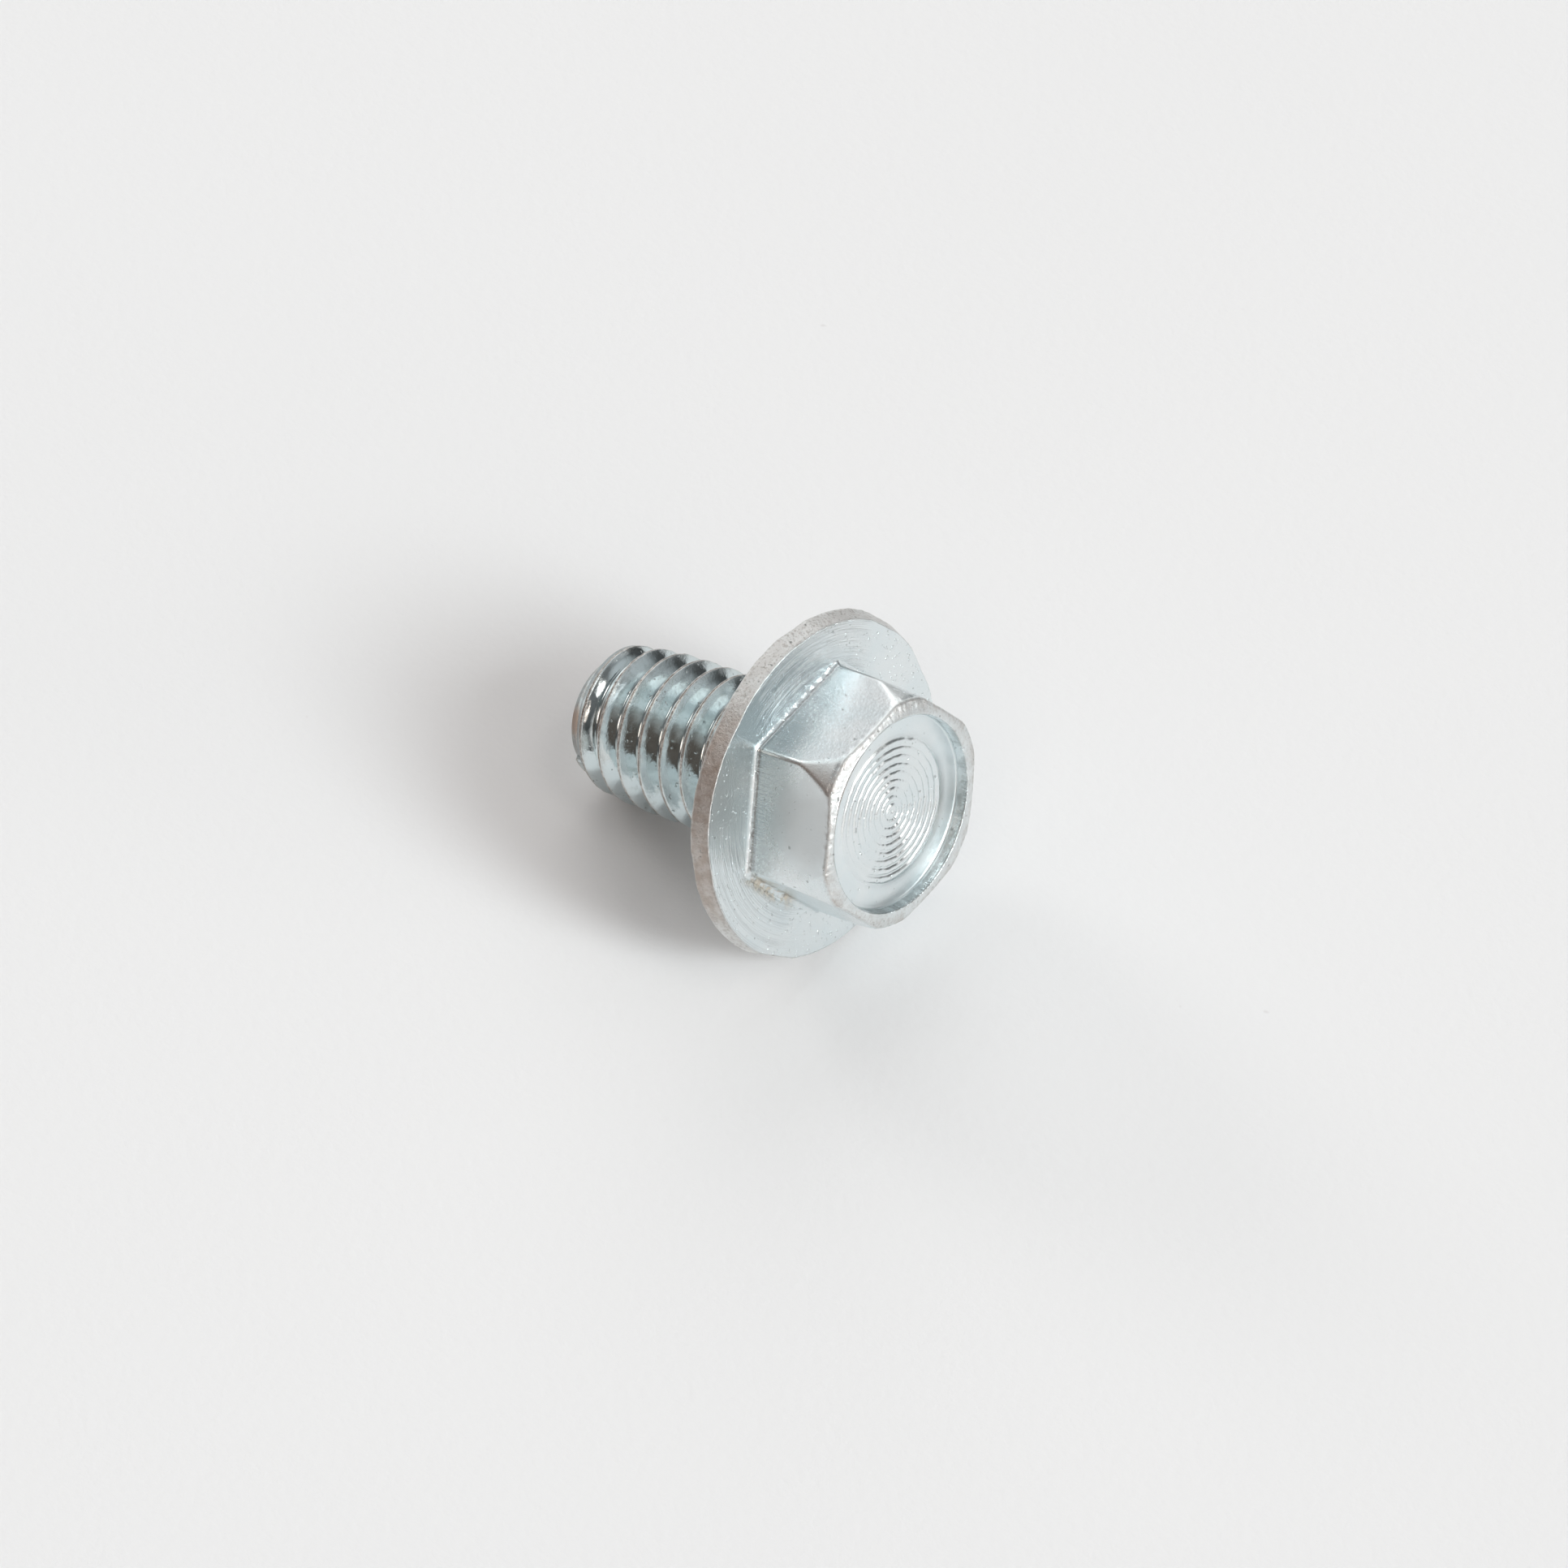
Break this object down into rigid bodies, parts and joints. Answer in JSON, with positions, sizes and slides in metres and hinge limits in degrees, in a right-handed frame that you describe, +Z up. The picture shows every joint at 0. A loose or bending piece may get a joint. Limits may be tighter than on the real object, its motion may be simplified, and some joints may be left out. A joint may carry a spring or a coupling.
{
  "type": "hex flange screw",
  "caption": "Short machine screw with a hexagon head on a round flange, a shallow ringed recess in the top, and a right-hand rolled thread up to the flange.",
  "frame": {"origin": "centre of the screw's outline on the floor it lies on", "axes": "+X along the floor from the tip to the head, +Y across the screw, +Z up"},
  "size_m": [0.015, 0.0128, 0.0119],
  "materials": {
    "zinc_plated_steel": "bright zinc plate with a faint blue cast, pitted and stained at the edges"
  },
  "bodies": {
    "root": {"screw": "zinc_plated_steel"}
  },
  "joints": []
}
